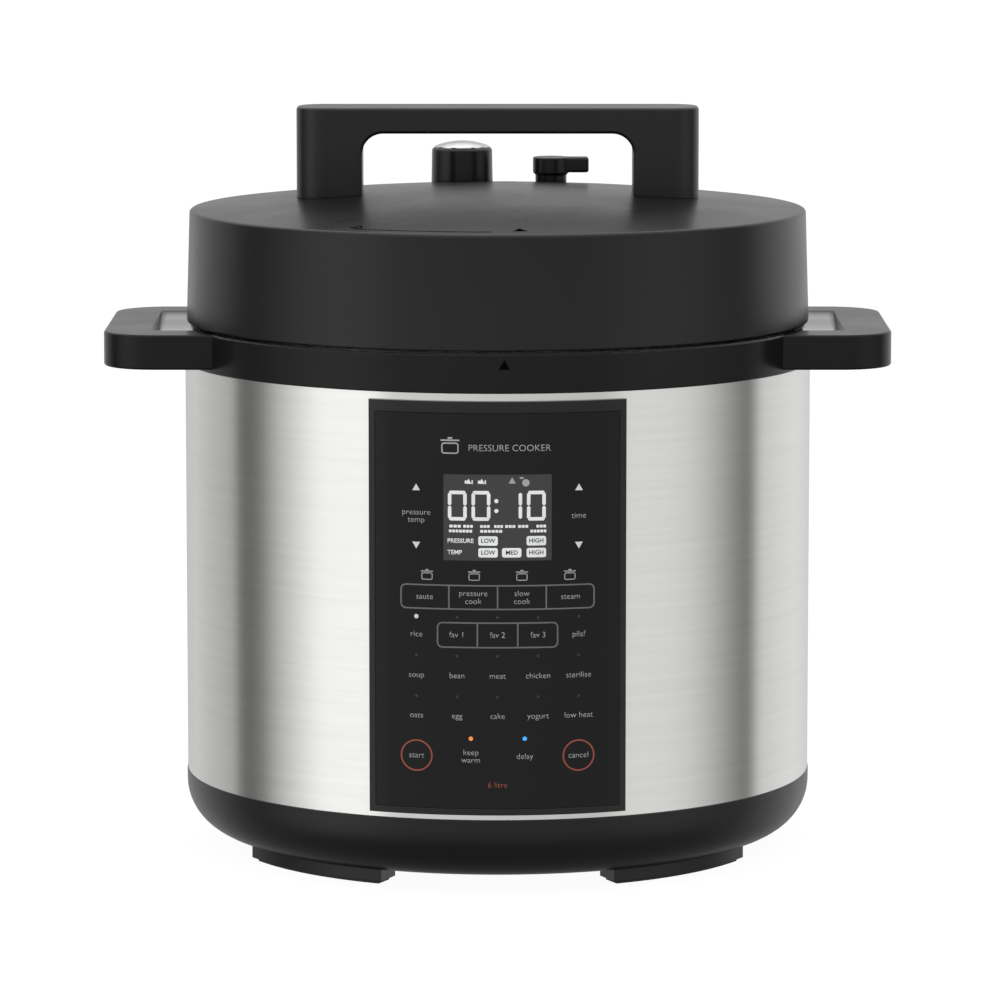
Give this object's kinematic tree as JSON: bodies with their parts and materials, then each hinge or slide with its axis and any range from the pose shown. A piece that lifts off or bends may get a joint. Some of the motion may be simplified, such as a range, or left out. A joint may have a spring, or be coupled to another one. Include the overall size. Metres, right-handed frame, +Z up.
{
  "type": "electric pressure cooker",
  "caption": "Electric pressure cooker: brushed steel drum with a touch panel, side handles and a twist-lock domed lid with a bridge handle, steam knob and release lever.",
  "frame": {"origin": "on the surface the cooker stands on, under the middle of the pot", "axes": "+Z up; the control panel faces -Y; +X is to the right of someone facing the panel"},
  "size_m": [0.3344, 0.2754, 0.3185],
  "materials": {
    "base_plastic": "satin black",
    "foot_rubber": "matt black",
    "housing_steel": "fine upright brushing",
    "collar_plastic": "semi-gloss black",
    "lid_plastic": "semi-gloss black",
    "handle_plastic": "satin black",
    "cup_plastic": "smoked black",
    "pot_steel": "satin stainless",
    "shell_aluminium": "plain sheet",
    "plate_aluminium": "cast",
    "bracket_steel": "zinc grey",
    "screw_steel": "bright zinc",
    "pin_brass": "plain",
    "fuse_ceramic": "glazed",
    "inlet_plastic": "plain black",
    "board_laminate": "green varnish",
    "relay_plastic": "plain",
    "transformer_iron": "varnished",
    "terminal_plastic": "plain",
    "wire_plastic": "plain",
    "panel_plastic": "gloss",
    "panel_glass": "gloss black",
    "display_plastic": "grey",
    "spring_steel": "plain",
    "knob_plastic": "semi-gloss black",
    "cap_metal": "polished",
    "silicone": "translucent white"
  },
  "bodies": {
    "body": {"base_moulding": "base_plastic", "foot_pads": "foot_rubber", "steel_housing": "housing_steel", "top_collar": "collar_plastic", "collar_screws": "screw_steel", "cup_bay": "collar_plastic", "outer_pot": "shell_aluminium", "pot_brackets": "bracket_steel", "base_screws": "screw_steel", "heating_plate": "plate_aluminium", "plate_studs": "screw_steel", "element_terminals": "pin_brass", "sensor_housing": "bracket_steel", "plunger_spring": "spring_steel", "thermal_fuse": "fuse_ceramic", "pressure_switch": "fuse_ceramic", "switch_bracket": "bracket_steel", "inlet_socket": "inlet_plastic", "inlet_pins": "pin_brass", "inlet_screws": "screw_steel", "power_board": "board_laminate", "board_screws": "screw_steel", "relay": "relay_plastic", "transformer": "transformer_iron", "terminal_block": "terminal_plastic", "mains_wires": "wire_plastic", "element_wires": "wire_plastic", "sensor_wire": "wire_plastic", "panel_cable": "wire_plastic", "panel_frame": "panel_plastic", "panel_glass": "panel_glass", "control_board": "board_laminate", "display_module": "display_plastic", "touch_springs": "spring_steel", "panel_backing": "base_plastic", "panel_screws": "screw_steel"},
    "seal": {"sealing_ring": "silicone"},
    "lid": {"lid_cover": "lid_plastic", "lid_handle": "handle_plastic", "handle_screws": "screw_steel", "pressure_lid": "pot_steel", "lid_studs": "screw_steel", "lid_nuts": "screw_steel", "seal_rack": "spring_steel", "vent_pipe": "screw_steel", "release_pipe": "screw_steel", "valve_nuts": "screw_steel", "vent_shield": "pot_steel", "float_guide": "screw_steel"},
    "knob": {"pressure_knob": "knob_plastic", "knob_cap": "cap_metal", "knob_weight": "pin_brass"},
    "lever": {"release_lever": "knob_plastic", "lever_seal": "silicone"},
    "float": {"float_pin": "cap_metal", "float_seal": "silicone"},
    "pot": {"inner_pot": "pot_steel"},
    "cup": {"condensation_cup": "cup_plastic"},
    "plunger": {"sensor_plunger": "plate_aluminium"}
  },
  "joints": [
    {"name": "lid_lift", "type": "slide", "parent": "body", "child": "seal", "axis": [0, 0, 1], "range_m": [0, 0.36]},
    {"name": "lid_turn", "type": "hinge", "parent": "seal", "child": "lid", "pos_m": [0, 0, 0.226], "axis": [0, 0, 1], "range_deg": [0, 30]},
    {"name": "pot_lift", "type": "slide", "parent": "body", "child": "pot", "axis": [0, 0, 1], "range_m": [0, 0.18]},
    {"name": "knob_lift", "type": "slide", "parent": "lid", "child": "knob", "axis": [0, 0, 1], "range_m": [0, 0.004]},
    {"name": "lever_turn", "type": "hinge", "parent": "lid", "child": "lever", "pos_m": [0.0236, 0.08, 0.285], "axis": [0, 0, 1], "range_deg": [0, 60]},
    {"name": "float_rise", "type": "slide", "parent": "lid", "child": "float", "axis": [0, 0, 1], "range_m": [0, 0.0045]},
    {"name": "cup_slide", "type": "slide", "parent": "body", "child": "cup", "axis": [0, 1, 0], "range_m": [0, 0.045]},
    {"name": "plunger_press", "type": "slide", "parent": "body", "child": "plunger", "axis": [0, 0, 1], "range_m": [-0.002, 0], "stiffness_N_per_m": 500, "springref_m": 0.002, "deforming": ["plunger_spring"]}
  ],
  "couplings": [
    {"joint": "pot_lift", "follows": "lid_lift", "ratio": 0.5}
  ]
}
